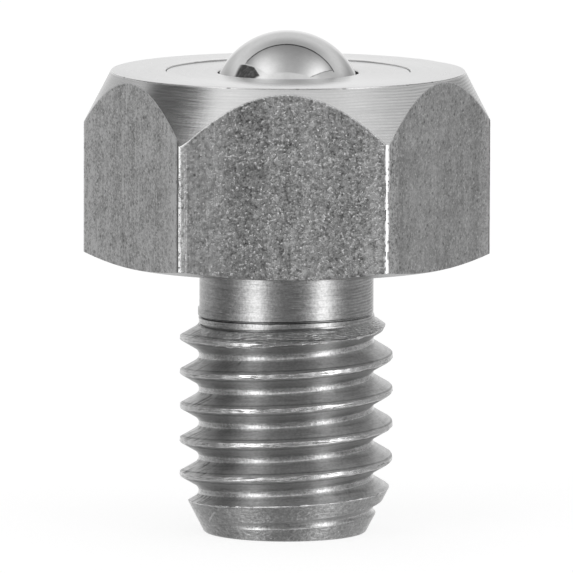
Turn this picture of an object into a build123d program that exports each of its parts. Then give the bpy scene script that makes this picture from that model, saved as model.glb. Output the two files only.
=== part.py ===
from build123d import *
from build123d import SkipClean
import os
from math import cos, radians, sin, tan

# Ball roller screw: a hexagon-head screw with one large steel ball held in the top of the head.
# The large ball runs on a bed of small balls, so it turns in any direction under a load.
# Lengths are in millimetres. The origin is the middle of the head's seat face, on the screw
# axis, with +Z pointing up through the large ball and the thread pointing down.

# Hexagon head
across_flats = 13.0
head_height = 7.0
corner_rounding = 0.3
top_face_radius = 6.42
top_chamfer_from_axis = 27.5
rim_rounding = 0.06
seat_face_radius = 6.42
seat_chamfer_slope = 15.0

# Neck and threaded shank
shank_length = 10.0
neck_radius = 3.19
neck_fillet = 0.18
land_radius = 3.26
land_top = -1.73
thread_start = -2.12
thread_start_slope = 30.0
pitch = 1.25
crest_radius = 3.925
root_radius = 3.22
root_flat = 0.28
crest_height_at_x = -3.495
groove_top = -0.65
end_radius = 2.96
end_chamfer_from_axis = 27.3

# Large ball, and how far it stands out of the head
load_ball_radius = 2.75
ball_stand_out = 1.45

# Small balls under it, in rows counted from the lowest one
support_ball_radius = 0.75
running_gap = 0.01
row_angles = [0.0, 25.7, 50.9, 76.1]
row_counts = [1, 6, 11, 14]
row_turns = [0.0, 0.0, 8.0, 3.0]

# Cup that carries the small balls, and the ring that closes it
cup_floor = 0.23
cup_wall = 0.21
cup_corner = 0.45
insert_gap = 0.02
pocket_corner = 0.30
cover_thickness = 0.80
cover_mouth_radius = 2.62
cover_inner_radius = 2.86
cover_edge_break = 0.05

# Sizes that follow from the ones above
load_ball_height = head_height + ball_stand_out - load_ball_radius
layer_radius = load_ball_radius + support_ball_radius + running_gap
race_radius = layer_radius + support_ball_radius + running_gap
insert_radius = race_radius + cup_wall
pocket_radius = insert_radius + insert_gap
pocket_floor = load_ball_height - race_radius - cup_floor
cover_underside = head_height - cover_thickness


def turned(points, arc=360.0, first=0.0):
    """Solid of revolution about Z from (radius, height) points, over an arc in degrees."""
    face = Plane.XZ * make_face(Polyline([*points, points[0]]))
    solid = revolve(face, Axis.Z, revolution_arc=arc)
    return Rot(0, 0, first) * solid


def hexagon_head():
    """Hexagon bar with its corners turned off above and below."""
    flats = RegularPolygon(across_flats / 2, 6, major_radius=False, rotation=0)
    flats = fillet(flats.vertices(), corner_rounding)
    bar = extrude(flats, head_height)
    reach = across_flats * 0.62
    down = (reach - top_face_radius) / tan(radians(top_chamfer_from_axis))
    up = (reach - seat_face_radius) * tan(radians(seat_chamfer_slope))
    turned_head = turned([
        (0, 0),
        (seat_face_radius, 0),
        (reach, up),
        (reach, head_height - down),
        (top_face_radius, head_height),
        (0, head_height),
    ])
    rims = turned_head.edges().filter_by(GeomType.CIRCLE).sort_by(Axis.Z)
    turned_head = fillet(rims[-1], rim_rounding)
    return bar & turned_head


def shank_profile():
    """Half outline of neck, run-in cone, thread blank and end chamfer."""
    cone_drop = (crest_radius - land_radius) * tan(radians(thread_start_slope))
    end_rise = (crest_radius - end_radius) / tan(radians(end_chamfer_from_axis))
    corner = [(neck_radius + neck_fillet * (1 - cos(a)), -neck_fillet * (1 - sin(a)))
              for a in [radians(step * 22.5) for step in range(4, -1, -1)]]
    return [
        (0, 0.4),
        (neck_radius + neck_fillet, 0.4),
        *corner,
        (neck_radius, land_top + (land_radius - neck_radius)),
        (land_radius, land_top),
        (land_radius, thread_start),
        (crest_radius, thread_start - cone_drop),
        (crest_radius, -shank_length + end_rise),
        (end_radius, -shank_length),
        (0, -shank_length),
    ]


def groove_length(arc):
    """A short length of the groove between two crests, starting on +X at height zero."""
    outer = crest_radius + 0.08
    half_root = root_flat / 2
    half_mouth = half_root + (outer - root_radius) * tan(radians(30))
    path = Helix(pitch=pitch, height=pitch * arc / 360, radius=root_radius)
    start = Plane(origin=(root_radius, 0, 0), x_dir=(1, 0, 0), z_dir=(0, -1, 0))
    section = start * Polygon(
        (0, -half_root),
        (outer - root_radius, -half_mouth),
        (outer - root_radius, half_mouth),
        (0, half_root),
        align=None,
    )
    return sweep(sections=section, path=path, is_frenet=True)


def threaded_shank():
    """Neck and shank in eight sectors, each with its lengths of groove cut, joined into one."""
    sectors = 8
    arc = 360.0 / sectors
    first_sector = 15.0
    overlap = 10.0
    groove = groove_length(arc + 2 * overlap)
    shank = None
    for number in range(sectors):
        begin = first_sector + number * arc
        sector = turned(shank_profile(), arc, begin)
        first = begin - overlap
        height = crest_height_at_x + pitch / 2 + pitch * first / 360
        while height < groove_top - pitch:
            height += pitch
        while height > -shank_length - pitch:
            sector = sector - Pos(0, 0, height) * Rot(0, 0, first) * groove
            height -= pitch
        shank = sector if shank is None else shank + sector
    return shank


def screw_body():
    """Head, neck and threaded shank, turned from one hexagon bar, with the pocket bored in."""
    bore = turned([
        (0, pocket_floor),
        (pocket_radius - pocket_corner, pocket_floor),
        (pocket_radius, pocket_floor + pocket_corner),
        (pocket_radius, head_height + 1),
        (0, head_height + 1),
    ])
    with SkipClean():
        return hexagon_head() - bore + threaded_shank()


def ball_cup():
    """Hardened cup with a round race that carries the small balls."""
    outside = turned([
        (0, pocket_floor),
        (insert_radius - cup_corner, pocket_floor),
        (insert_radius, pocket_floor + cup_corner),
        (insert_radius, cover_underside),
        (0, cover_underside),
    ])
    race = Pos(0, 0, load_ball_height) * Sphere(race_radius)
    mouth = Pos(0, 0, load_ball_height) * Cylinder(
        race_radius, 5, align=(Align.CENTER, Align.CENTER, Align.MIN))
    return outside - race - mouth


def cover_ring():
    """Flush ring whose mouth is smaller than the large ball, so the ball can't come out."""
    return turned([
        (cover_inner_radius, cover_underside),
        (insert_radius, cover_underside),
        (insert_radius, head_height - cover_edge_break),
        (insert_radius - cover_edge_break, head_height),
        (cover_mouth_radius + cover_edge_break, head_height),
        (cover_mouth_radius, head_height - cover_edge_break),
    ])


def support_ball_places():
    """Centres of the small balls, row by row from the bottom of the race."""
    places = []
    for angle, count, turn in zip(row_angles, row_counts, row_turns):
        out = layer_radius * sin(radians(angle))
        height = load_ball_height - layer_radius * cos(radians(angle))
        for number in range(count):
            around = radians(turn + 360.0 * number / count)
            places.append((out * cos(around), out * sin(around), height))
    return places


os.makedirs("parts", exist_ok=True)

export_step(screw_body(), "parts/screw_body.step")
export_step(ball_cup(), "parts/ball_cup.step")
export_step(cover_ring(), "parts/cover_ring.step")
export_step(Pos(0, 0, load_ball_height) * Sphere(load_ball_radius), "parts/load_ball.step")

for number, place in enumerate(support_ball_places(), start=1):
    ball = Pos(*place) * Sphere(support_ball_radius)
    export_step(ball, f"parts/support_ball_{number:02d}.step")
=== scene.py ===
import math

import bmesh
import bpy
from mathutils import Matrix, Vector, noise


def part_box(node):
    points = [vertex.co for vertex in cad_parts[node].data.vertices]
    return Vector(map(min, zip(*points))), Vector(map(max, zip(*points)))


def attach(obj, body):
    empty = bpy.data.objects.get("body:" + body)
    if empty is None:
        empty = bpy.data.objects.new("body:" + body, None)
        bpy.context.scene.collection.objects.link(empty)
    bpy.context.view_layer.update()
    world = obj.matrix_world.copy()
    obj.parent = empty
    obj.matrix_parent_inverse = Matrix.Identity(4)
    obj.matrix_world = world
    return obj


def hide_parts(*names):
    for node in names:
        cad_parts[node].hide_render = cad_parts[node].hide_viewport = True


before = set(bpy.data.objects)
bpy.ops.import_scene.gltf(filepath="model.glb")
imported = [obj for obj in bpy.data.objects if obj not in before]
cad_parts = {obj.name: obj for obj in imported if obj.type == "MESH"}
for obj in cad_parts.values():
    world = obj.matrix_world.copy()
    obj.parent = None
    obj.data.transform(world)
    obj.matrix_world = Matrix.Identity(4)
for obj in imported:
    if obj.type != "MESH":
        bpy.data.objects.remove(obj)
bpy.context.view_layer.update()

# Ball roller screw: hexagon head with a steel ball in its top, plain neck and coarse thread.
# Shapes are made in millimetres and brought to metres when a piece is finished.
MM = 0.001

# Sizes of the screw, as fitted to the photograph and close to the frame's
ACROSS_FLATS = 13.03
HEAD_HEIGHT = 7.0
TOP_RADIUS = 6.505
TOP_CONE_FROM_AXIS = 27.4
SEAT_RADIUS = 6.42
SEAT_SLOPE = 15.0
NECK_RADIUS = 3.203
LAND_RADIUS = 3.245
LAND_TOP = -1.885
THREAD_START = -2.21
LEAD_RADIUS = 3.42
LEAD_SLOPE = 20.0
LEAD_DROP = (LEAD_RADIUS - NECK_RADIUS) * math.tan(math.radians(LEAD_SLOPE))
THREAD_START_SLOPE = 35.0
CREST_RADIUS = 3.925
ROOT_RADIUS = 3.22
ROOT_FLAT = 0.28
PITCH = 1.25
CREST_AT_X = -3.495
THREAD_TURNS = 11
THREAD_STEPS = 360
ROD_TOP = -0.95
BAR_BOTTOM = -1.2
BAR_LENGTH = 9.4
BAR_STEPS = 150
END_RADIUS = 2.99
END_FROM_AXIS = 27.3
SHANK_LENGTH = 10.045
POCKET_RADIUS = 4.50
POCKET_FLOOR = 1.20
BALL_RADIUS = 2.776
BALL_HEIGHT = 5.70
SMALL_BALL_RADIUS = 0.725
RING_RADIUS = 4.480
RING_MOUTH = 2.59
RING_SUNK = 0.05
RING_THICKNESS = 0.80

# The top of the head was turned in a second hold, a little off the axis of bar and shank,
# and the end chamfer a little off again
BAR_OFFSET = Vector((-0.032, -0.100, 0.0))
END_OFFSET = Vector((-0.030, 0.0, 0.0))
BALL_OFFSET = Vector((-0.022, 0.0, BALL_HEIGHT))

# Radii of the four plain corners of the bar, and the outlines of the two rolled ones in front
CORNER_RADII = (0.36, 0.28, 0.38, 0.34)
LEFT_CORNER = [(-0.130, 0.088), (-0.100, 0.024), (-0.025, 0.030), (0.005, 0.0375), (0.2046, 0.1181)]
RIGHT_CORNER = [(-0.100, 0.068), (-0.080, 0.046), (0.060, 0.035)]

# Steps under the neck that drop round the left: angle in degrees where the drop starts, drop per
# degree, and most drop
GROOVE_FALL = (15.0, 0.0013, 0.12)
LAND_FALL = (20.0, 0.0026, 0.15)
FALL_ENDS = -110.0

# Torn edges: height at the front, angles in degrees, and thickness
CREST_BURR = (-2.63, -48.0, 72.0, 0.040)
END_BURR = (-8.69, -75.0, 80.0, 0.030)
LAND_BURR_TURNS = range(5, 36, 2)
LAND_BURR_THICKNESS = 0.024

# Where single marks lie on the bar, across the front
FRONT_FACE_Y = (-5.9, -6.2)
FRONT_WIDTH = 7.2
DASHED_X = (-2.1, -2.6)
# Dark line of painted shadow on the left face beside the left corner
EDGE_SHADOW_X = (-3.955, -3.920, -3.835, -3.825)
LEFT_CORNER_X = (-3.70, -3.73)
WORN_X = (-3.76, -3.58)
# Line of painted highlight on the right corner
RIGHT_CORNER_HIGHLIGHT_X = 3.684
# Width of the dip and painted highlight along the arches
ARCH_LINE = 0.036

# Where single marks lie on the turned faces: angles in radians from the front, and heights
NICK_TURNS = (-0.323, 0.065, 0.328)
SCRATCH_TURN = -0.805
SCRATCH_SLANT = 0.433
SCRATCH_FOOT = -9.06
SCRATCH_MIDDLE = -9.26
# Heights where the last flank is lightened as a painted highlight
LAST_FLANK_HIGHLIGHT = (-8.0, -8.4)

# Order of the finishes on the screw body
FLAT, CORNER, CONE, TOP, RIM, SEAT, NECK, LEAD, FLANK, ROOT, CREST, END_CONE, END_FACE, POCKET = range(14)

# Camera, as fitted to the photograph: lens and distance in millimetres, angles in degrees
LENS = 769.0
DISTANCE = 450.3
ELEVATION, AZIMUTH, ROLL = 6.90, 0.77, 0.19
AIM = Vector((-0.032, -0.054, -0.993))


# -------------------- mesh helpers

def spin_outline(outline, steps, closed=True):
    """Full turn of a (radius, height) outline about Z."""
    bm = bmesh.new()
    points = [bm.verts.new((r, 0.0, z)) for r, z in outline]
    lines = [bm.edges.new(pair) for pair in zip(points, points[1:])]
    if closed:
        lines.append(bm.edges.new((points[-1], points[0])))
    bmesh.ops.spin(bm, geom=points + lines, cent=(0, 0, 0), axis=(0, 0, 1), dvec=(0, 0, 0),
                   angle=math.tau, steps=steps, use_merge=True)
    bmesh.ops.remove_doubles(bm, verts=bm.verts, dist=1e-5)
    bmesh.ops.dissolve_degenerate(bm, dist=1e-6, edges=bm.edges)
    bmesh.ops.recalc_face_normals(bm, faces=bm.faces)
    return bm


def to_object(bm, name, finishes):
    """New object with the finished mesh."""
    mesh = bpy.data.meshes.new(name)
    bm.to_mesh(mesh)
    bm.free()
    piece = bpy.data.objects.new(name, mesh)
    bpy.context.scene.collection.objects.link(piece)
    for finish in finishes:
        mesh.materials.append(finish)
    return piece


def combine(piece, tool, how):
    """Boolean of two closed pieces; the tool is used up."""
    step = piece.modifiers.new(how.lower(), "BOOLEAN")
    step.object = tool
    step.operation = how
    step.solver = "EXACT"
    depsgraph = bpy.context.evaluated_depsgraph_get()
    mesh = bpy.data.meshes.new_from_object(piece.evaluated_get(depsgraph))
    piece.modifiers.clear()
    piece.data = mesh
    bpy.data.objects.remove(tool)
    return piece


def arc(centre, radius, start, end, count):
    """Points of a circular arc in an outline, angles in degrees from +radius."""
    points = []
    for number in range(count + 1):
        angle = math.radians(start + (end - start) * number / count)
        points.append((centre[0] + radius * math.cos(angle), centre[1] + radius * math.sin(angle)))
    return points


def turn_of(point):
    """Angle round the screw in degrees, 0 at the front and positive to the right."""
    return math.degrees(math.atan2(point.x, -point.y))


def finish_piece(piece, body, replaced):
    """Brings a piece to metres and tells the frame what it moves with and what it stands for."""
    piece.data.transform(Matrix.Scale(MM, 4))
    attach(piece, body)
    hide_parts(*replaced)


# -------------------- node helpers

class Nodes:
    """Short hand for adding and joining nodes in one tree."""

    def __init__(self, tree):
        self.tree = tree
        tree.nodes.clear()

    def add(self, kind, **settings):
        node = self.tree.nodes.new(kind)
        for key, value in settings.items():
            setattr(node, key, value)
        return node

    def plug(self, socket, value):
        if value is None:
            return
        if isinstance(value, bpy.types.NodeSocket):
            self.tree.links.new(value, socket)
        else:
            socket.default_value = value

    def math(self, operation, first, second=None, third=None, clamp=False):
        node = self.add("ShaderNodeMath", operation=operation, use_clamp=clamp)
        for socket, value in zip(node.inputs, (first, second, third)):
            self.plug(socket, value)
        return node.outputs[0]

    def vector(self, operation, first, second=None, scale=None):
        node = self.add("ShaderNodeVectorMath", operation=operation)
        self.plug(node.inputs[0], first)
        self.plug(node.inputs[1], second)
        if scale is not None:
            self.plug(node.inputs["Scale"], scale)
        return node.outputs["Value"] if operation in ("LENGTH", "DOT_PRODUCT") else node.outputs[0]

    def between(self, value, low, high, new_low=0.0, new_high=1.0):
        """new_low below low, new_high above high, a smooth step between."""
        node = self.add("ShaderNodeMapRange", interpolation_type="SMOOTHSTEP")
        for socket, item in zip(node.inputs, (value, low, high, new_low, new_high)):
            self.plug(socket, item)
        return node.outputs[0]

    def noise(self, vector, scale, detail=2.0, roughness=0.5, w=None):
        node = self.add("ShaderNodeTexNoise", noise_dimensions="3D" if w is None else "4D")
        for name, value in (("Vector", vector), ("Scale", scale), ("Detail", detail),
                            ("Roughness", roughness)):
            self.plug(node.inputs[name], value)
        if w is not None:
            self.plug(node.inputs["W"], w)
        return node.outputs["Fac"]

    def stretched(self, place, scales, detail=2.0, roughness=0.5):
        """Noise with its own scale along each axis."""
        return self.noise(self.vector("MULTIPLY", place, scales), 1.0, detail, roughness)

    def streaks(self, place, scale, course, course_scale, detail=2.0, roughness=0.5):
        """Noise in streaks that keep to one value of the course."""
        place = self.vector("SCALE", place, scale=scale)
        return self.noise(place, 1.0, detail, roughness, w=self.times(course, course_scale))

    def ramp(self, value, stops, interpolation="LINEAR"):
        node = self.add("ShaderNodeValToRGB")
        scale = node.color_ramp
        scale.interpolation = interpolation
        while len(scale.elements) < len(stops):
            scale.elements.new(0.5)
        for element, (place, level) in zip(scale.elements, stops):
            element.position = place
            element.color = (level, level, level, 1.0)
        self.plug(node.inputs["Fac"], value)
        return node.outputs["Color"]

    def times(self, first, second):
        return self.math("MULTIPLY", first, second)

    def plus(self, first, second):
        return self.math("ADD", first, second)

    def minus(self, first, second, clamp=False):
        return self.math("SUBTRACT", first, second, clamp=clamp)

    def fused(self, value, factor, added):
        """value * factor + added"""
        return self.math("MULTIPLY_ADD", value, factor, added)

    def swing(self, value, amount, level):
        """The level, raised or lowered by how far a value is from one half."""
        return self.fused(self.minus(value, 0.5), amount, level)

    def size(self, value):
        return self.math("ABSOLUTE", value)

    def most(self, first, second):
        return self.math("MAXIMUM", first, second)

    def least(self, first, second):
        return self.math("MINIMUM", first, second)

    def near(self, value, aim, inner, outer, level=1.0):
        """The level within an inner distance of the aim, 0 beyond an outer one."""
        return self.between(self.size(self.minus(value, aim)), inner, outer, level, 0.0)

    def ring(self, radius, inside, full, fading, outside):
        """1 in a ring between two radii, with soft borders."""
        entered = self.between(radius, inside, full)
        return self.times(entered, self.between(radius, fading, outside, 1.0, 0.0))

    def xyz(self, vector):
        split = self.add("ShaderNodeSeparateXYZ")
        self.plug(split.inputs[0], vector)
        return split.outputs

    def surface(self, kind, shader):
        self.plug(self.add("ShaderNodeOutput" + kind).inputs["Surface"], shader)

    def mix(self, factor, first, second):
        node = self.add("ShaderNodeMix", data_type="FLOAT")
        for name, value in (("Factor", factor), ("A", first), ("B", second)):
            self.plug(node.inputs[name], value)
        return node.outputs[0]


def metal(name, colour, roughness, anisotropic=0.0):
    """New metal finish: its nodes, its shader, and the place on the piece in millimetres."""
    material = bpy.data.materials.new(name)
    material.use_nodes = True
    nodes = Nodes(material.node_tree)
    shader = nodes.add("ShaderNodeBsdfPrincipled")
    nodes.surface("Material", shader.outputs[0])
    shader.inputs["Metallic"].default_value = 1.0
    shader.inputs["Base Color"].default_value = (colour, colour, colour, 1.0)
    shader.inputs["Roughness"].default_value = roughness
    shader.inputs["Anisotropic"].default_value = anisotropic
    place = nodes.add("ShaderNodeTexCoord").outputs["Object"]
    place = nodes.vector("SCALE", place, scale=1.0 / MM)
    return material, nodes, shader, place


def relief(nodes, shader, height, depth):
    """Bump of the given depth in millimetres."""
    bump = nodes.add("ShaderNodeBump")
    nodes.plug(bump.inputs["Height"], height)
    bump.inputs["Strength"].default_value = 1.0
    bump.inputs["Distance"].default_value = depth * MM
    nodes.plug(shader.inputs["Normal"], bump.outputs["Normal"])


def radius_and_height(nodes, place):
    height = nodes.xyz(place)[2]
    flat = nodes.vector("MULTIPLY", place, (1.0, 1.0, 0.0))
    return nodes.vector("LENGTH", flat), height


# -------------------- finishes

def paint(nodes, shader, tone, darkest):
    """Grey base colour from a tone, kept between the darkest allowed and nearly white."""
    tone = nodes.least(nodes.most(tone, darkest), 0.95)
    shade = nodes.add("ShaderNodeCombineColor")
    for socket in shade.inputs:
        nodes.plug(socket, tone)
    nodes.plug(shader.inputs["Base Color"], shade.outputs[0])


def near_cone(nodes, place, radius_at, height_at, from_axis, width):
    """1 where a face runs out on a turned cone, falling to 0 over the given width."""
    radius, height = radius_and_height(nodes, place)
    grow = math.tan(math.radians(from_axis))
    wall = nodes.fused(height, grow, radius_at - height_at * grow)
    return nodes.between(nodes.minus(radius, wall), -width, -0.15 * width)


def drawn_flat():
    """Side faces of the hexagon bar: drawn lines under a grain of pits and bright specks, with painted
    shading across the faces, a painted shadow beside the left corner and a painted highlight along the
    arches.
    """
    material, nodes, shader, place = metal("drawn_flat", 0.60, 0.38)
    x, y, _ = nodes.xyz(place)
    front = nodes.between(y, *FRONT_FACE_Y)

    # How strong the grain is: weaker on the side faces and at the left of the front
    coarse = nodes.between(x, -3.7, -1.2, 0.55, 1.0)
    coarse = nodes.mix(front, nodes.between(x, -1.0, 1.0, 0.78, 0.60), coarse)

    skew = nodes.add("ShaderNodeVectorRotate", rotation_type="EULER_XYZ")
    nodes.plug(skew.inputs["Vector"], place)
    nodes.plug(skew.inputs["Rotation"], (0.61, 0.47, 0.83))
    skewed = skew.outputs[0]
    grain = nodes.noise(skewed, 5.6, detail=3.0, roughness=0.66)
    fine = nodes.noise(skewed, 13.5, detail=2.0, roughness=0.65)
    patches = nodes.noise(skewed, 1.5, detail=3.0, roughness=0.6)
    rough = nodes.times(nodes.minus(nodes.plus(grain, fine), 1.0), 1.9)

    # Drawn lines and broad bands along the bar
    bands = nodes.stretched(place, (1.1, 1.1, 0.04))
    lines = nodes.stretched(place, (13.0, 13.0, 0.45))
    streaky = nodes.between(x, -3.6, -1.6, 1.30, 0.45)
    drawn = nodes.times(nodes.minus(lines, 0.5), nodes.mix(front, 0.55, streaky))

    # Pits, and bright specks that turn to dashes on the left
    pits = nodes.add("ShaderNodeTexVoronoi", feature="F1")
    nodes.plug(pits.inputs["Vector"], skewed)
    nodes.plug(pits.inputs["Scale"], 3.2)
    pit = nodes.between(pits.outputs["Distance"], 0.08, 0.26)
    specks = nodes.noise(nodes.vector("ADD", skewed, (9.0, 3.0, 5.0)), 10.0, detail=1.0)
    dashes = nodes.stretched(place, (8.0, 8.0, 0.55), detail=1.0)
    dash = nodes.times(nodes.between(dashes, 0.63, 0.78, 0.0, 0.75), nodes.between(x, *DASHED_X))
    speck = nodes.most(nodes.between(specks, 0.60, 0.74), dash)

    height = nodes.fused(pit, 0.5, nodes.plus(rough, drawn))
    height = nodes.times(nodes.fused(speck, 0.75, height), coarse)
    # A thin line along the arches: a dip in the relief, and a lighter colour that is a painted highlight
    arch_dip_and_highlight = near_cone(nodes, place, TOP_RADIUS, HEAD_HEIGHT, -TOP_CONE_FROM_AXIS, ARCH_LINE)
    relief(nodes, shader, nodes.fused(arch_dip_and_highlight, -1.3, height), 0.008)

    tone = nodes.fused(nodes.plus(rough, drawn), coarse, 1.0)
    tone = nodes.swing(patches, 0.7, tone)
    tone = nodes.swing(bands, nodes.mix(front, 0.55, 0.8), tone)
    tone = nodes.times(tone, nodes.between(pit, 0.0, 1.0, 0.60, 1.0))
    tone = nodes.fused(nodes.times(speck, coarse), 0.80, tone)
    # Painted shading: side faces lighter towards their far edges and the left one lighter than the right,
    # and a fitted rise and fall of painted shading across the front face
    side_painted_shading = nodes.times(nodes.between(nodes.size(x), 6.85, 7.30, 1.0, 1.25),
                           nodes.between(x, -1.0, 1.0, 0.71, 0.63))
    front_painted_shading = nodes.ramp(nodes.fused(x, 1 / FRONT_WIDTH, 0.5), [
        (0.0, 0.80), (0.06, 0.68), (0.15, 0.66), (0.21, 0.60), (0.28, 0.57), (0.36, 0.59),
        (0.50, 0.68), (0.66, 0.64), (0.78, 0.62), (0.87, 0.74), (0.96, 0.76), (1.0, 0.78)])
    tone = nodes.times(tone, nodes.mix(front, side_painted_shading, front_painted_shading))
    # Painted shadow: a dark line on the left face beside the left corner, the burr's shadow painted in
    edge_shadow = nodes.ring(x, *EDGE_SHADOW_X)
    tone = nodes.times(tone, nodes.mix(edge_shadow, 1.0, 0.35))
    paint(nodes, shader, nodes.fused(arch_dip_and_highlight, 0.35, tone), 0.06)
    nodes.plug(shader.inputs["Roughness"], nodes.fused(grain, 0.25, 0.25))
    return material


def corner_edge():
    """Corners of the bar, burnished by the drawing die and dented since, with painted highlights: the left
    corner near white and a narrow line on the right corner bright.
    """
    material, nodes, shader, place = metal("corner_edge", 0.76, 0.18)
    x = nodes.xyz(place)[0]
    lines = nodes.stretched(place, (14.0, 14.0, 0.5))
    dents = nodes.noise(place, 4.5, detail=2.0, roughness=0.65)
    left = nodes.between(x, *LEFT_CORNER_X)
    dent = nodes.between(dents, nodes.mix(left, 0.50, 0.60), nodes.mix(left, 0.66, 0.70))
    middle = nodes.minus(nodes.near(x, RIGHT_CORNER_HIGHLIGHT_X, 0.018, 0.042), left, clamp=True)
    dent = nodes.times(dent, nodes.mix(middle, 1.0, 0.15))
    beads = nodes.stretched(place, (3.0, 3.0, 11.0), detail=3.0, roughness=0.7)
    bead = nodes.times(nodes.between(beads, 0.53, 0.64), left)
    relief(nodes, shader, nodes.fused(dent, -1.5, lines), 0.004)
    # Painted highlights: the left corner near white, and a narrow line on the right corner bright against
    # the darker rest
    whole = nodes.mix(left, nodes.mix(middle, 0.42, 0.85), 0.86)
    tone = nodes.mix(dent, whole, nodes.mix(left, 0.20, 0.50))
    paint(nodes, shader, nodes.times(tone, nodes.mix(bead, 1.0, 0.50)), 0.04)
    return material


def turned(name, colour, roughness, depth, along, anisotropic=0.5, rotation=0.0, coarse=5.0, streak=0.9,
           contrast=0.5, speckled=0.35, marks=None):
    """Face turned on a lathe: fine rings that follow the tool, along 'height' or 'radius'."""
    material, nodes, shader, place = metal(name, colour, roughness, anisotropic)
    shader.inputs["Anisotropic Rotation"].default_value = rotation
    radius, height = radius_and_height(nodes, place)
    course = height if along == "height" else radius
    broad = nodes.streaks(place, 0.15, course, coarse, detail=3.0)
    fine = nodes.streaks(place, streak, course, coarse * 3.5)
    speckle = nodes.noise(place, 10.0, detail=2.0)
    rings = nodes.fused(fine, 0.9, nodes.times(broad, 0.8))
    rings = nodes.fused(speckle, speckled, rings)
    shade = nodes.fused(nodes.minus(rings, 0.85 + speckled / 2), contrast, 1.0)
    if marks:
        rings, shade = marks(nodes, place, radius, height, rings, shade)
    relief(nodes, shader, rings, depth)
    paint(nodes, shader, nodes.times(shade, colour), 0.04)
    nodes.plug(shader.inputs["Roughness"], nodes.fused(fine, 0.14, roughness - 0.07))
    tangent = nodes.add("ShaderNodeTangent", direction_type="RADIAL", axis="Z")
    nodes.plug(shader.inputs["Tangent"], tangent.outputs[0])
    return material


def turn_angle(nodes, place):
    """Angle round the screw in radians, 0 at the front and positive to the right."""
    x, y, _ = nodes.xyz(place)
    return nodes.math("ARCTAN2", x, nodes.times(y, -1.0))


# Marks on the turned faces: each gives back the relief and the shade with its own marks added

def cone_ridges(nodes, place, radius, height, rings, shade):
    """Feed marks of the turning tool, plainest on the right."""
    angle = turn_angle(nodes, place)
    wander = nodes.noise(place, 0.5, detail=2.0)
    wave = nodes.math("SINE", nodes.fused(height, 62.0, nodes.times(wander, 9.0)))
    plain = nodes.between(angle, 0.25, 0.85, 0.12, 0.75)
    plain = nodes.times(plain, nodes.between(angle, 1.2, 2.6, 1.0, 0.35))
    wave = nodes.times(wave, nodes.times(plain, nodes.between(wander, 0.3, 0.6, 0.55, 1.0)))
    return nodes.fused(wave, 0.42, rings), nodes.fused(wave, 0.17, shade)


def neck_ridges(nodes, place, radius, height, rings, shade):
    """Short slanting tool marks on the right of the neck, and painted shade in the grooves beside the land.
    """
    angle = turn_angle(nodes, place)
    course = nodes.fused(angle, -0.10, height)
    wander = nodes.noise(place, 0.9, detail=2.0)
    wave = nodes.math("SINE", nodes.fused(course, 55.0, nodes.times(wander, 8.0)))
    where = nodes.times(nodes.between(angle, 0.62, 0.95), nodes.between(angle, 1.30, 1.65, 1.0, 0.2))
    wave = nodes.times(wave, where)
    # Painted shade in the grooves beside the land, fading towards the right
    from_bar_axis, _ = radius_and_height(nodes, nodes.vector("SUBTRACT", place, tuple(BAR_OFFSET)))
    groove_shade = nodes.between(from_bar_axis, NECK_RADIUS - 0.045, NECK_RADIUS - 0.020, 1.0, 0.0)
    groove_shade = nodes.times(groove_shade, nodes.between(angle, 0.30, 0.95, 1.0, 0.15))
    shade = nodes.times(shade, nodes.mix(groove_shade, 1.0, 0.45))
    return nodes.fused(wave, 0.36, rings), nodes.fused(wave, 0.15, shade)


def flank_marks(nodes, place, radius, height, rings, shade):
    """Chatter marks of the thread die across the upper flanks, in patches, with a painted shadow along the
    crest edge and a painted highlight on the last flank.
    """
    angle = turn_angle(nodes, place)
    spot = nodes.add("ShaderNodeCombineXYZ")
    nodes.plug(spot.inputs[0], nodes.fused(radius, 5.0, nodes.times(angle, 27.0)))
    nodes.plug(spot.inputs[1], nodes.times(radius, 1.6))
    nodes.plug(spot.inputs[2], nodes.times(height, 0.7))
    mark = nodes.between(nodes.noise(spot.outputs[0], 1.0, detail=1.0), 0.52, 0.62)
    facing_up = nodes.xyz(nodes.add("ShaderNodeTexCoord").outputs["Normal"])[2]
    upper = nodes.between(facing_up, 0.2, 0.6)
    left = nodes.times(nodes.between(angle, -1.75, -1.35), nodes.between(angle, -1.0, -0.75, 1.0, 0.0))
    patch = nodes.between(nodes.noise(place, 0.55, detail=1.0), 0.52, 0.64)
    where = nodes.times(nodes.most(left, nodes.times(patch, 0.25)), upper)
    mark = nodes.times(mark, where)
    # Painted shadow: a dark band on the flanks just under the crest edge
    shade = nodes.times(shade, nodes.mix(nodes.ring(radius, 3.80, 3.85, 3.87, 3.90), 1.0, 0.60))
    # Painted highlight: the last flank a little lighter
    shade = nodes.times(shade, nodes.between(height, *LAST_FLANK_HIGHLIGHT, 1.0, 1.12))
    return nodes.fused(mark, -3.0, rings), nodes.fused(mark, -0.55, shade)


def end_cone_marks(nodes, place, radius, height, rings, shade):
    """Grainy torn metal with bright specks, and one scratch on the left."""
    grains = nodes.noise(place, 8.0, detail=3.0, roughness=0.68)
    torn = nodes.streaks(place, 4.5, height, 11.0, roughness=0.6)
    specks = nodes.noise(nodes.vector("ADD", place, (4.0, 1.0, 9.0)), 10.0, detail=1.0)
    shade = nodes.swing(grains, 1.1, shade)
    shade = nodes.fused(nodes.between(specks, 0.58, 0.68), 0.30, shade)
    rings = nodes.fused(torn, 8.0, nodes.fused(grains, 1.0, rings))
    course = nodes.fused(nodes.minus(height, SCRATCH_FOOT), -SCRATCH_SLANT, turn_angle(nodes, place))
    scratch = nodes.times(nodes.near(course, SCRATCH_TURN, 0.006, 0.018),
                          nodes.near(height, SCRATCH_MIDDLE, 0.18, 0.22))
    return nodes.fused(scratch, -7.0, rings), nodes.fused(scratch, 1.3, shade)


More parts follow.
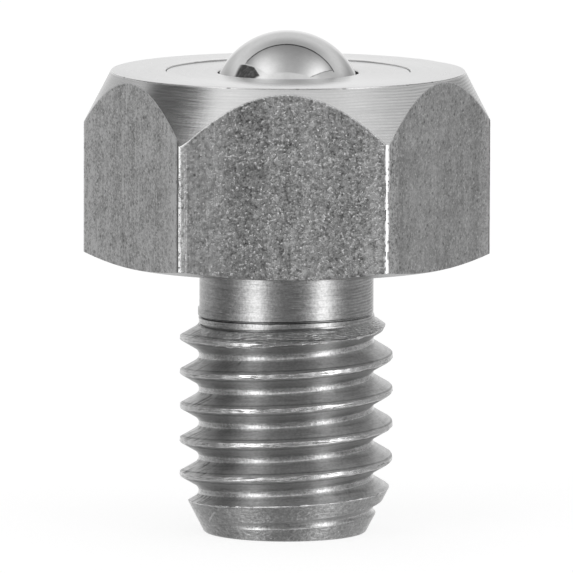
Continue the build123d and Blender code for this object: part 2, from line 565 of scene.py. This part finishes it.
def lead_marks(nodes, place, radius, height, rings, shade):
    """Coarse first cut of the thread die, with painted shade under its edge and below the land."""
    rings, shade = end_cone_marks(nodes, place, radius, height, rings, shade)
    angle = turn_angle(nodes, place)
    # Painted shadow: a dark band just under the crest edge
    shade = nodes.times(shade, nodes.mix(nodes.ring(radius, 3.79, 3.84, 3.88, 3.91), 1.0, 0.55))
    # Painted shade below the land, at the front and left
    under = nodes.times(nodes.between(radius, 3.34, 3.42, 1.0, 0.0),
                        nodes.between(angle, 0.5, 1.0, 1.0, 0.0))
    shade = nodes.times(shade, nodes.mix(under, 1.0, 0.62))
    wander = nodes.noise(place, 1.4, detail=2.0)
    steps = nodes.math("SINE", nodes.fused(radius, 80.0, nodes.times(wander, 14.0)))
    steps = nodes.times(steps, nodes.between(wander, 0.30, 0.55))
    return nodes.fused(steps, 2.6, rings), shade


def crest_burrs(nodes, place, radius, height, rings, shade):
    """Bright torn metal along the crests, in short lines that follow the thread."""
    course = nodes.fused(turn_angle(nodes, place), -0.5 * PITCH / math.pi, height)
    torn = nodes.streaks(place, 1.1, course, 24.0, detail=3.0, roughness=0.65)
    chip = nodes.between(nodes.noise(place, 6.0, detail=2.0, roughness=0.6), 0.65, 0.72)
    flake = nodes.between(torn, 0.35, 0.47)
    shade = nodes.fused(nodes.minus(flake, 0.75), 0.60, shade)
    return nodes.fused(flake, 2.6, rings), nodes.fused(chip, -0.5, shade)


def rim_nicks(nodes, place, radius, height, rings, shade):
    """Small dark nicks along the rim of the top face."""
    spots = nodes.noise(nodes.vector("ADD", place, (2.0, 5.0, 1.0)), 2.3, detail=2.0, roughness=0.7)
    nick = nodes.between(spots, 0.64, 0.70)
    angle = turn_angle(nodes, place)
    for turn in NICK_TURNS:
        nick = nodes.most(nick, nodes.near(angle, turn, 0.004, 0.018, 0.8))
    return nodes.fused(nick, -1.0, rings), nodes.fused(nick, -0.42, shade)


def polished_ball():
    material, nodes, shader, place = metal("ball_polish", 0.72, 0.035)
    haze = nodes.noise(place, 1.6, detail=4.0, roughness=0.6)
    relief(nodes, shader, nodes.noise(place, 5.0, detail=3.0), 0.0008)
    mottle = nodes.noise(place, 4.0, detail=4.0, roughness=0.7)
    paint(nodes, shader, nodes.swing(mottle, 0.12, 0.72), 0.04)
    nodes.plug(shader.inputs["Roughness"], nodes.fused(haze, 0.05, 0.015))
    return material


def plain_bearing_steel(name, colour, roughness):
    material, nodes, shader, place = metal(name, colour, roughness)
    cloud = nodes.noise(place, 3.0, detail=3.0)
    nodes.plug(shader.inputs["Roughness"], nodes.fused(cloud, 0.10, roughness - 0.05))
    return material


SCREW_FINISHES = [
    drawn_flat(),
    corner_edge(),
    turned("top_cone", 0.68, 0.22, 0.003, "height", anisotropic=0.4, streak=1.1, contrast=0.25,
           marks=cone_ridges),
    turned("faced_top", 0.83, 0.30, 0.003, "radius", streak=1.5, contrast=0.14),
    turned("top_rim", 0.84, 0.20, 0.003, "height", marks=rim_nicks),
    turned("seat_face", 0.60, 0.30, 0.004, "radius"),
    turned("neck", 0.61, 0.24, 0.005, "height", streak=3.0, coarse=7.0, contrast=0.8, speckled=0.7,
           marks=neck_ridges),
    turned("thread_lead", 0.66, 0.34, 0.010, "height", anisotropic=0.9, rotation=0.25, streak=3.0,
           speckled=0.9, marks=lead_marks),
    turned("thread_flank", 0.52, 0.38, 0.005, "radius", anisotropic=0.93, rotation=0.25, coarse=7.0,
           streak=1.8, contrast=0.8, speckled=0.8, marks=flank_marks),
    turned("thread_root", 0.72, 0.28, 0.006, "height", anisotropic=0.8, rotation=0.25, streak=2.5,
           contrast=0.9, speckled=1.2),
    turned("thread_crest", 0.94, 0.22, 0.008, "height", streak=3.0, contrast=0.5, speckled=0.2,
           marks=crest_burrs),
    turned("end_cone", 0.60, 0.34, 0.006, "height", anisotropic=0.93, rotation=0.25, streak=3.0,
           marks=end_cone_marks),
    turned("end_face", 0.55, 0.32, 0.007, "radius"),
    turned("pocket_wall", 0.70, 0.32, 0.004, "height"),
]


# -------------------- screw body

def corner_outline(number):
    """One corner across the bar as (along, inward) points, 'along' running to the next face."""
    if number == 4:
        return LEFT_CORNER
    if number == 5:
        return RIGHT_CORNER
    radius = CORNER_RADII[number]
    points = []
    for step in range(5):
        along = radius * math.sin(math.radians(-30 + 15 * step))
        points.append((along, radius / math.cos(math.radians(30)) - math.sqrt(radius ** 2 - along ** 2)))
    return points


def hexagon_bar():
    """Hexagon bar, long enough to reach into the neck, with worn and rolled corners."""
    bm = bmesh.new()
    corner_radius = ACROSS_FLATS / math.sqrt(3.0)
    loop, burrs = [], []
    for number in range(6):
        angle = math.radians(60 * number)
        out = Vector((math.cos(angle), math.sin(angle), 0.0))
        across = Vector((-out.y, out.x, 0.0))
        for order, (along, inward) in enumerate(corner_outline(number)):
            spot = out * (corner_radius - inward) + across * along
            loop.append(bm.verts.new((spot.x, spot.y, BAR_BOTTOM)))
            if number in (4, 5) and order in (1, 2):
                burrs.append((spot, across, out))
    lines = [bm.edges.new(pair) for pair in zip(loop, loop[1:] + loop[:1])]
    bm.faces.new(loop)
    bmesh.ops.spin(bm, geom=loop + lines, cent=(0, 0, 0), axis=(0, 0, 1), angle=0.0,
                   dvec=(0, 0, BAR_LENGTH / BAR_STEPS), steps=BAR_STEPS)
    lid = [e for e in bm.edges if e.is_boundary]
    bmesh.ops.contextual_create(bm, geom=lid)
    bmesh.ops.recalc_face_normals(bm, faces=bm.faces)
    for vert in bm.verts:
        for spot, across, out in burrs:
            if (vert.co.xy - spot.xy).length < 0.001:
                rough = noise.noise(Vector((spot.x, 0.0, vert.co.z * 5.0)))
                fine = noise.noise(Vector((spot.x, 7.0, vert.co.z * 17.0)))
                vert.co += out * (0.008 * rough + 0.006 * fine) + across * 0.006 * fine
                break
    for face in bm.faces:
        if abs(face.normal.z) < 0.5:
            turn = math.degrees(math.atan2(face.normal.y, face.normal.x)) % 60.0
            wide = max(e.calc_length() for e in face.edges) > 3.0
            centre = face.calc_center_median()
            flat = abs(turn - 30.0) < 3.0
            worn = WORN_X[0] < centre.x < WORN_X[1] and centre.y < 0.0 and not flat
            face.material_index = FLAT if (wide and flat) or worn else CORNER
    bmesh.ops.translate(bm, verts=bm.verts, vec=BAR_OFFSET)
    return bm


def fray_crests(bm):
    """Ragged thread crests, as a worn die leaves them, and a pitch drawn out a little downwards."""
    for vert in bm.verts:
        if vert.co.z < -3.0:
            vert.co.z -= min(0.03 * (-3.0 - vert.co.z), 0.015) + max(0.0083 * (-3.6 - vert.co.z), 0.0)
        turn = turn_of(vert.co)

        # Blunt tip on the right, where the thread begins
        if -2.75 < vert.co.z < -1.75 and 45.0 < turn < 135.0:
            blunt = math.sin(math.radians(2.0 * (turn - 45.0))) ** 0.5
            vert.co.xy *= min(1.0, (CREST_RADIUS - 0.26 * blunt) / vert.co.xy.length)
        out = Vector((vert.co.x, vert.co.y, 0.0))
        if out.length < CREST_RADIUS - 0.05:
            continue
        lift = noise.noise(vert.co * 2.6) * 0.6 + noise.noise(vert.co * 5.0) * 0.4
        pull = noise.noise(vert.co * 3.2 + Vector((31.0, 5.0, 0.0)))

        # The first crest hangs a little at the front
        if vert.co.z > -2.9 and vert.co.y < 0.0:
            side = (turn + 20.0) / 17.0
            vert.co.z -= 0.075 * math.exp(-side * side)
        vert.co += Vector((0.0, 0.0, 0.030 * lift)) + out.normalized() * (0.016 * pull - 0.006)


def threaded_rod():
    """Rod with the full thread, cut square above and below what the screw keeps of it."""
    half_root = ROOT_FLAT / 2
    slope = math.tan(math.radians(30))
    half_mouth = half_root + (CREST_RADIUS - ROOT_RADIUS) * slope
    root = CREST_AT_X + PITCH / 2
    round_root = half_root / (math.sin(math.radians(60)) - 0.5 * slope)
    curve = [(ROOT_RADIUS + round_root * (1.0 - math.cos(a)), round_root * math.sin(a))
             for a in [math.radians(-60 + 12 * step) for step in range(11)]]
    outline = [
        *curve[4:],
        (ROOT_RADIUS + 0.36, half_root + 0.36 * slope),
        (CREST_RADIUS - 0.02, half_mouth - 0.012),
        (CREST_RADIUS + 0.004, half_mouth + 0.03),
        (CREST_RADIUS, half_mouth + 0.08),
        (CREST_RADIUS - 0.012, PITCH - half_mouth + 0.005),
        (ROOT_RADIUS + 0.36, PITCH - half_root - 0.36 * slope),
        *[(r, PITCH + z) for r, z in curve[:5]],
    ]
    first = root - PITCH * (THREAD_TURNS - 3)
    bm = bmesh.new()
    points = [bm.verts.new((r, 0.0, first + z)) for r, z in outline]
    lines = [bm.edges.new(pair) for pair in zip(points, points[1:])]
    bmesh.ops.spin(bm, geom=points + lines, cent=(0, 0, 0), axis=(0, 0, 1), angle=math.tau,
                   dvec=(0, 0, PITCH / THREAD_STEPS), steps=THREAD_STEPS)
    one_turn = list(bm.verts) + list(bm.edges) + list(bm.faces)
    for number in range(1, THREAD_TURNS):
        copy = bmesh.ops.duplicate(bm, geom=one_turn)
        moved = [item for item in copy["geom"] if isinstance(item, bmesh.types.BMVert)]
        bmesh.ops.translate(bm, verts=moved, vec=(0, 0, PITCH * number))
    bmesh.ops.remove_doubles(bm, verts=bm.verts, dist=1e-4)
    fray_crests(bm)
    for level, away in ((ROD_TOP, 1.0), (-SHANK_LENGTH - 0.3, -1.0)):
        whole = list(bm.verts) + list(bm.edges) + list(bm.faces)
        bmesh.ops.bisect_plane(bm, geom=whole, dist=1e-6, plane_co=(0, 0, level),
                               plane_no=(0, 0, away), clear_outer=True)
        rim = [e for e in bm.edges if e.is_boundary and all(abs(v.co.z - level) < 1e-4 for v in e.verts)]
        bmesh.ops.contextual_create(bm, geom=rim)
    bmesh.ops.recalc_face_normals(bm, faces=bm.faces)
    for face in bm.faces:
        place = face.calc_center_median()
        out = math.hypot(place.x, place.y)
        if out < ROOT_RADIUS + 0.03:
            face.material_index = ROOT
        else:
            face.material_index = CREST if out > CREST_RADIUS - 0.045 else FLANK
    bmesh.ops.translate(bm, verts=bm.verts, vec=BAR_OFFSET)
    return bm


def blank_outline():
    """Half outline of the screw as the lathe leaves it, from the pocket round to the end face."""
    reach = ACROSS_FLATS * 0.62
    down = (reach - TOP_RADIUS) / math.tan(math.radians(TOP_CONE_FROM_AXIS))
    up = (reach - SEAT_RADIUS) * math.tan(math.radians(SEAT_SLOPE))
    blank = CREST_RADIUS + 0.08
    cone_drop = (blank - LEAD_RADIUS) * math.tan(math.radians(THREAD_START_SLOPE))
    end_rise = (blank - END_RADIUS) / math.tan(math.radians(END_FROM_AXIS))
    rim = arc((TOP_RADIUS - 0.02, HEAD_HEIGHT - 0.03), 0.03, 90, 0, 3)
    fillet = arc((NECK_RADIUS + 0.18, -0.18), 0.18, 90, 180, 5)
    return [
        (0.0, POCKET_FLOOR),
        (POCKET_RADIUS - 0.3, POCKET_FLOOR),
        (POCKET_RADIUS, POCKET_FLOOR + 0.3),
        (POCKET_RADIUS, HEAD_HEIGHT - 0.02),
        (POCKET_RADIUS + 0.02, HEAD_HEIGHT),
        *rim,
        (TOP_RADIUS + 0.005, HEAD_HEIGHT - 0.041),
        (TOP_RADIUS + 0.022, HEAD_HEIGHT - 0.052),
        (reach, HEAD_HEIGHT - down),
        (reach, up),
        (SEAT_RADIUS, 0.0),
        *fillet,
        *[(NECK_RADIUS, height) for height in (-1.70, -1.76, -1.83, LAND_TOP)],
        (NECK_RADIUS - 0.075, LAND_TOP - 0.038),
        (NECK_RADIUS - 0.075, LAND_TOP - 0.066),
        (LAND_RADIUS - 0.01, LAND_TOP - 0.100),
        (LAND_RADIUS, THREAD_START + 0.085),
        (NECK_RADIUS - 0.05, THREAD_START + 0.060),
        (NECK_RADIUS - 0.05, THREAD_START + 0.012),
        (NECK_RADIUS, THREAD_START),
        (LEAD_RADIUS, THREAD_START - LEAD_DROP),
        (blank, THREAD_START - LEAD_DROP - cone_drop),
        (blank, end_rise - SHANK_LENGTH),
        (END_RADIUS + 0.02, 0.04 - SHANK_LENGTH),
        (END_RADIUS - 0.03, -SHANK_LENGTH),
        (0.0, -SHANK_LENGTH),
    ]


def fall(turn, start, per_degree, most):
    """How far a step under the neck has dropped, at an angle in degrees from the front."""
    if turn > start:
        return 0.0
    if turn > FALL_ENDS:
        return min(per_degree * (start - turn), most)
    return most * (turn + 180.0) / (FALL_ENDS + 180.0)


def rise(value, start, length):
    """0 before the start, 1 once past the length, straight between."""
    return min(max((value - start) / length, 0.0), 1.0)


def mark_blank(bm):
    """Gives each turned face its finish from where it lies, then moves what was turned apart:
    a bulge on the left above the land, and grooves and run-out that drop round the left."""
    for face in bm.faces:
        place = face.calc_center_median()
        out, height = math.hypot(place.x, place.y), place.z
        steep = abs(face.normal.z)
        if height > 0.3 and out < POCKET_RADIUS + 0.005:
            finish = POCKET
        elif height > HEAD_HEIGHT - 0.001:
            finish = TOP
        elif height > HEAD_HEIGHT - 0.06:
            finish = RIM
        elif height > 2.0:
            finish = CONE
        elif out > NECK_RADIUS + 0.18 and height > -0.1:
            finish = SEAT
        elif height > THREAD_START - 0.01:
            finish = NECK
        elif height > -5.0:
            finish = LEAD
        elif steep > 0.9:
            finish = END_FACE
        else:
            finish = END_CONE
        face.material_index = finish
    for vert in bm.verts:
        out = math.hypot(vert.co.x, vert.co.y)
        turn = turn_of(vert.co)
        if LAND_TOP - 0.105 < vert.co.z < -1.72:
            left = rise(-vert.co.x / out, 0.30, 0.6)
            left *= left * (3.0 - 2.0 * left)
            if vert.co.z > LAND_TOP - 0.01:
                vert.co.xy *= (out + 0.055 * left * left) / out
            if vert.co.z < -1.80:
                vert.co.z -= fall(turn, *GROOVE_FALL)
        elif -4.0 < vert.co.z < LAND_TOP - 0.11:
            right = rise(turn, 25.0, 60.0) * rise(180.0 - turn, 0.0, 60.0)
            right *= right * (3.0 - 2.0 * right)
            if out < LAND_RADIUS - 0.001:
                filled = rise(turn, 20.0, 30.0) * rise(180.0 - turn, 0.0, 40.0)
                vert.co.xy *= (out + (LAND_RADIUS + 0.004 - out) * filled) / out
            vert.co.z += 0.08 * right
            if out < LEAD_RADIUS + 0.001:
                vert.co.z -= fall(turn, *LAND_FALL) * (1.0 if out < LEAD_RADIUS - 0.01 else 0.8)
    below = [v for v in bm.verts if v.co.z < 3.0 and math.hypot(v.co.x, v.co.y) > 0.001]
    bmesh.ops.translate(bm, verts=[v for v in below if v.co.z < 1.0], vec=BAR_OFFSET)
    bmesh.ops.translate(bm, verts=[v for v in below if v.co.z < -7.0], vec=END_OFFSET)


def cut_edge(piece, cut, facing, level, first, last):
    """Points along the edge where the flanks that face up (1) or down (-1) meet a cut finish.
    Edges come in another order on each run, so each step of turn takes its lowest angle."""
    bm = bmesh.new()
    bm.from_mesh(piece.data)
    found = {}
    for edge in bm.edges:
        sides = {face.material_index: face for face in edge.link_faces}
        if len(sides) == 2 and FLANK in sides and any(finish in sides for finish in cut):
            middle = (edge.verts[0].co + edge.verts[1].co) / 2
            turn = turn_of(middle)
            off_level = abs(middle.z - level - PITCH * turn / 360.0)
            if sides[FLANK].normal.z * facing > 0.3 and first < turn < last and off_level < 0.35:
                found.setdefault(round(turn / 1.5), []).append((turn, *middle))
    bm.free()
    return [Vector(min(found[key])[1:]) for key in sorted(found)]


def burr_wire(points, thickness):
    """Thin uneven wire of torn metal through the points, tapered to its ends."""
    data = bpy.data.curves.new("burr", "CURVE")
    data.dimensions = "3D"
    data.bevel_depth = thickness
    data.bevel_resolution = 1
    data.use_fill_caps = True
    spline = data.splines.new("POLY")
    spline.points.add(len(points) - 1)
    for number, (point, place) in enumerate(zip(spline.points, points)):
        end = min(number, len(points) - 1 - number) / 6.0
        wide = 0.9 + 1.3 * noise.noise(place * 3.0) + 0.9 * noise.noise(place * 9.0)
        point.co = (*place, 1.0)
        point.radius = min(max(wide, 0.30), 1.7) * min(0.25 + end, 1.0)
    holder = bpy.data.objects.new("burr", data)
    bpy.context.scene.collection.objects.link(holder)
    depsgraph = bpy.context.evaluated_depsgraph_get()
    bm = bmesh.new()
    bm.from_mesh(bpy.data.meshes.new_from_object(holder.evaluated_get(depsgraph)))
    bpy.data.objects.remove(holder)
    bmesh.ops.remove_doubles(bm, verts=bm.verts, dist=1e-5)
    bmesh.ops.recalc_face_normals(bm, faces=bm.faces)
    for face in bm.faces:
        face.material_index = CREST
    return to_object(bm, "burr", SCREW_FINISHES)


def burr_paths(screw):
    """Where the torn edges run: first crest, end chamfer, and a short line under the land."""
    under_land = []
    for turn in LAND_BURR_TURNS:
        angle = math.radians(turn)
        height = THREAD_START - LEAD_DROP - 0.8 * fall(turn, *LAND_FALL) + 0.01
        point = Vector((LEAD_RADIUS * math.sin(angle), -LEAD_RADIUS * math.cos(angle), height))
        under_land.append(point + BAR_OFFSET)
    *crest_run, crest_thickness = CREST_BURR
    *end_run, end_thickness = END_BURR
    return [
        (cut_edge(screw, (LEAD, CREST), -1.0, *crest_run), crest_thickness),
        (cut_edge(screw, (END_CONE,), 1.0, *end_run), end_thickness),
        (under_land, LAND_BURR_THICKNESS),
    ]


def smooth_by_angle(piece, limit):
    """Smooth faces, with sharp edges and the borders of the drawn faces kept crisp."""
    bm = bmesh.new()
    bm.from_mesh(piece.data)
    bmesh.ops.remove_doubles(bm, verts=bm.verts, dist=2e-5)
    bmesh.ops.dissolve_degenerate(bm, dist=1e-5, edges=bm.edges)
    for face in bm.faces:
        face.smooth = True
    for edge in bm.edges:
        if len(edge.link_faces) == 2:
            finishes = {face.material_index for face in edge.link_faces}
            own_limit = 2.0 if finishes & {FLAT, CORNER} else limit
            edge.smooth = edge.calc_face_angle(0.0) < math.radians(own_limit)
    bm.to_mesh(piece.data)
    bm.free()


def make_screw():
    screw = to_object(hexagon_bar(), "screw", SCREW_FINISHES)
    rod = to_object(threaded_rod(), "rod", SCREW_FINISHES)
    screw = combine(screw, rod, "UNION")
    blank = spin_outline(blank_outline(), 240, closed=False)
    mark_blank(blank)
    screw = combine(screw, to_object(blank, "blank", SCREW_FINISHES), "INTERSECT")
    for points, thickness in burr_paths(screw):
        if len(points) > 2:
            screw = combine(screw, burr_wire(points, thickness), "UNION")
    smooth_by_angle(screw, 16.0)
    finish_piece(screw, "housing", ["screw_body"])


# -------------------- ball and cover ring

def ball_piece(name, radius, centre, segments, finish):
    """Smooth ball with closed poles, in millimetres."""
    bm = bmesh.new()
    bmesh.ops.create_uvsphere(bm, u_segments=segments, v_segments=segments // 2, radius=radius)
    bmesh.ops.translate(bm, verts=bm.verts, vec=centre)
    for face in bm.faces:
        face.smooth = True
    return to_object(bm, name, [finish])


def make_ball():
    ball = ball_piece("large_ball", BALL_RADIUS, BALL_OFFSET, 144, polished_ball())
    finish_piece(ball, "load_ball", ["load_ball"])


def make_cover_ring():
    """Ring let in a little below the top face, its lip rolled down towards the ball."""
    low, high = HEAD_HEIGHT - RING_THICKNESS, HEAD_HEIGHT - RING_SUNK
    lip = [(RING_MOUTH + wider, high - lower) for wider, lower in (
        (0.19, 0.0), (0.11, 0.004), (0.05, 0.013), (0.015, 0.030),
        (0.0, 0.055), (0.015, 0.09), (0.15, 0.35))]
    outline = [(2.86, low), (RING_RADIUS, low), (RING_RADIUS, high - 0.02), (RING_RADIUS - 0.02, high), *lip]
    bm = spin_outline(outline, 200)
    finish = turned("ring_face", 0.82, 0.30, 0.003, "radius", streak=1.5, contrast=0.16)
    ring = to_object(bm, "cover_face", [finish])
    smooth_by_angle(ring, 16.0)
    finish_piece(ring, "housing", ["cover_ring"])


def make_small_balls():
    """Small balls of the bed, placed round the large one and a hair smaller, so that it clears them."""
    steel = plain_bearing_steel("small_ball_steel", 0.62, 0.12)
    for node in sorted(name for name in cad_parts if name.startswith("support_ball")):
        low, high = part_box(node)
        centre = (low + high) / (2.0 * MM) + Vector((BALL_OFFSET.x, 0.0, 0.0))
        small = ball_piece(node.replace("support", "small"), SMALL_BALL_RADIUS, centre, 36, steel)
        finish_piece(small, "ball_bed", [node])


def dress_cup():
    """Finish of the cup, which keeps its own solid."""
    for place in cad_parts["ball_cup"].material_slots:
        place.material = plain_bearing_steel("cup_steel", 0.45, 0.30)


make_screw()
make_ball()
make_cover_ring()
make_small_balls()
dress_cup()


# -------------------- studio

def studio_world():
    """White tent behind and above, two tall soft boxes in front, darker room between them."""
    world = bpy.data.worlds.new("studio")
    bpy.context.scene.world = world
    world.use_nodes = True
    nodes = Nodes(world.node_tree)
    times, between, minus, fused = nodes.times, nodes.between, nodes.minus, nodes.fused
    way = nodes.add("ShaderNodeTexCoord").outputs["Generated"]
    side, depth, up = nodes.xyz(way)
    front = times(depth, -1.0)
    around = fused(nodes.math("ARCTAN2", side, front), 0.5 / math.pi, 0.5)
    climb = times(nodes.math("ARCSINE", up), 180.0 / math.pi)

    def sweep(levels):
        """Levels round the horizon by azimuth in degrees, 0 towards the camera."""
        stops = [((azimuth + 180.0) / 360.0, level / 4.0) for azimuth, level in levels]
        return times(nodes.ramp(around, stops, "EASE"), 4.0)

    walls = sweep([
        (-180, 1.25), (-165, 1.10), (-155, 0.80), (-120, 0.50), (-105, 0.28), (-90, 0.18),
        (-78, 0.20), (-68, 0.32), (-58, 0.70), (-50, 1.45), (-44, 2.3), (-36, 2.3), (-30, 1.1), (-22, 0.45),
        (-12, 0.26), (0, 0.19), (22, 0.22), (32, 0.50), (41, 1.3), (47, 2.6), (54, 2.5),
        (61, 1.3), (69, 0.65), (79, 0.34), (92, 0.26), (118, 0.42), (140, 0.48),
        (152, 0.62), (165, 1.05), (180, 1.25),
    ])
    under = sweep([
        (-180, 0.70), (-140, 0.60), (-116, 0.44), (-103, 0.31), (-90, 0.31), (-77, 0.52), (-65, 0.70),
        (-52, 0.50), (-38, 0.31), (-24, 0.24), (0, 0.21), (20, 0.27), (35, 0.34), (49, 0.55),
        (62, 0.98), (74, 0.56), (87, 0.40), (99, 0.42), (112, 0.60), (125, 0.52), (150, 0.70),
        (180, 0.70),
    ])
    upper = sweep([
        (-180, 0.95), (-112, 1.0), (-70, 1.1), (-52, 1.40), (-28, 1.15), (0, 0.95), (30, 1.02),
        (55, 1.10), (75, 0.84), (100, 0.75), (125, 0.95), (180, 0.95),
    ])
    above = nodes.most(up, 0.05)
    across = nodes.math("DIVIDE", side, above)
    ahead = nodes.math("DIVIDE", front, above)

    # Dark doorway high on the left
    jamb = fused(nodes.least(minus(ahead, 0.05), 0.0), 0.5, -0.87)
    jamb = minus(across, jamb)
    door = times(between(across, -2.7, -2.1), between(jamb, -0.02, 0.02, 1.0, 0.0))
    door = times(door, between(ahead, -0.82, -0.50))
    door = times(door, between(ahead, 0.46, 0.58, 1.0, 0.0))
    clutter = nodes.stretched(way, (5.0, 18.0, 18.0))
    upper = nodes.mix(door, upper, between(clutter, 0.45, 0.70, 0.10, 0.19))

    # Ceiling window with a lamp at each end and a dark frame along its back
    back_edge = minus(ahead, fused(across, 0.03, -0.43))
    front_edge = minus(fused(across, 0.03, 0.64), ahead)
    left_edge = minus(across, fused(ahead, 0.46, -0.88))
    right_edge = minus(fused(ahead, -0.549, 1.12), across)
    window = times(between(back_edge, -0.01, 0.01), between(front_edge, -0.02, 0.03))
    window = times(window, between(left_edge, -0.02, 0.05))
    window = times(window, between(right_edge, -0.02, 0.03))
    glow = fused(ahead, 0.26, 0.45)
    for lamp_across, lamp_ahead, strength in ((-0.62, 0.36, 0.95), (0.92, 0.34, 1.05)):
        off_across = nodes.math("DIVIDE", minus(across, lamp_across), 0.42)
        off_ahead = nodes.math("DIVIDE", minus(ahead, lamp_ahead), 0.62)
        away = nodes.plus(times(off_across, off_across), times(off_ahead, off_ahead))
        lamp = nodes.math("EXPONENT", times(away, -1.0))
        glow = fused(lamp, strength, glow)
    shaded = times(between(back_edge, -0.75, -0.03), nodes.near(across, 0.1, 0.2, 1.3))
    shaded = times(shaded, between(ahead, 0.0, 0.3, 1.0, 0.0))
    upper = times(upper, nodes.mix(shaded, 1.0, 0.60))
    upper = nodes.mix(window, upper, glow)
    frame_line = between(nodes.size(back_edge), 0.014, 0.045, 0.16, 1.0)
    reach = times(between(across, -1.0, -0.95), between(across, 1.40, 1.45, 1.0, 0.0))
    upper = times(upper, nodes.mix(reach, 1.0, frame_line))
    side_line = between(nodes.size(right_edge), 0.010, 0.030, 0.45, 1.0)
    reach = times(between(back_edge, 0.0, 0.03), between(front_edge, -0.02, 0.02))
    upper = times(upper, nodes.mix(reach, 1.0, side_line))
    walls = nodes.mix(between(climb, -12.0, -26.0), walls, under)
    level = nodes.mix(between(climb, 12.0, 30.0), walls, upper)
    seen = nodes.add("ShaderNodeLightPath").outputs["Is Camera Ray"]
    shade = nodes.add("ShaderNodeBackground")
    nodes.plug(shade.inputs["Strength"], nodes.mix(seen, level, 1.0))
    nodes.surface("World", shade.outputs[0])


def floor():
    """Pale floor that keeps the soft shadow and is left out of the metal's reflections."""
    bm = bmesh.new()
    bmesh.ops.create_circle(bm, segments=64, radius=0.9, cap_ends=True)
    bmesh.ops.translate(bm, verts=bm.verts, vec=(0, 0, -SHANK_LENGTH * MM))
    ground = to_object(bm, "floor", [])
    material = bpy.data.materials.new("floor_white")
    material.use_nodes = True
    nodes = Nodes(material.node_tree)
    matt = nodes.add("ShaderNodeBsdfDiffuse")
    matt.inputs["Color"].default_value = (0.4, 0.4, 0.4, 1.0)
    glow = nodes.add("ShaderNodeEmission")
    glow.inputs["Strength"].default_value = 0.77
    both = nodes.add("ShaderNodeAddShader")
    nodes.plug(both.inputs[0], matt.outputs[0])
    nodes.plug(both.inputs[1], glow.outputs[0])
    clear = nodes.add("ShaderNodeBsdfTransparent")
    path = nodes.add("ShaderNodeLightPath")
    below = nodes.add("ShaderNodeNewGeometry").outputs["Backfacing"]
    unseen = nodes.most(nodes.minus(1.0, path.outputs["Is Camera Ray"]), below)
    choice = nodes.add("ShaderNodeMixShader")
    nodes.plug(choice.inputs[0], unseen)
    nodes.plug(choice.inputs[1], both.outputs[0])
    nodes.plug(choice.inputs[2], clear.outputs[0])
    nodes.surface("Material", choice.outputs[0])
    ground.data.materials.append(material)


def camera():
    """Long lens from a little above, as the photograph was taken."""
    data = bpy.data.cameras.new("camera")
    data.sensor_width = 36.0
    data.lens = LENS
    data.clip_start = 0.01
    data.clip_end = 10.0
    holder = bpy.data.objects.new("camera", data)
    bpy.context.scene.collection.objects.link(holder)
    elevation, azimuth, roll = math.radians(ELEVATION), math.radians(AZIMUTH), math.radians(ROLL)
    back = Vector((math.sin(azimuth) * math.cos(elevation),
                   -math.cos(azimuth) * math.cos(elevation), math.sin(elevation)))
    right = Vector((math.cos(azimuth), math.sin(azimuth), 0.0))
    up = back.cross(right)
    right, up = right * math.cos(roll) + up * math.sin(roll), up * math.cos(roll) - right * math.sin(roll)
    place = AIM * MM + back * DISTANCE * MM
    turn = Matrix((right, up, back)).transposed().to_4x4()
    holder.matrix_world = Matrix.Translation(place) @ turn
    bpy.context.scene.camera = holder


studio_world()
floor()
camera()
bpy.context.scene.view_settings.view_transform = "Standard"
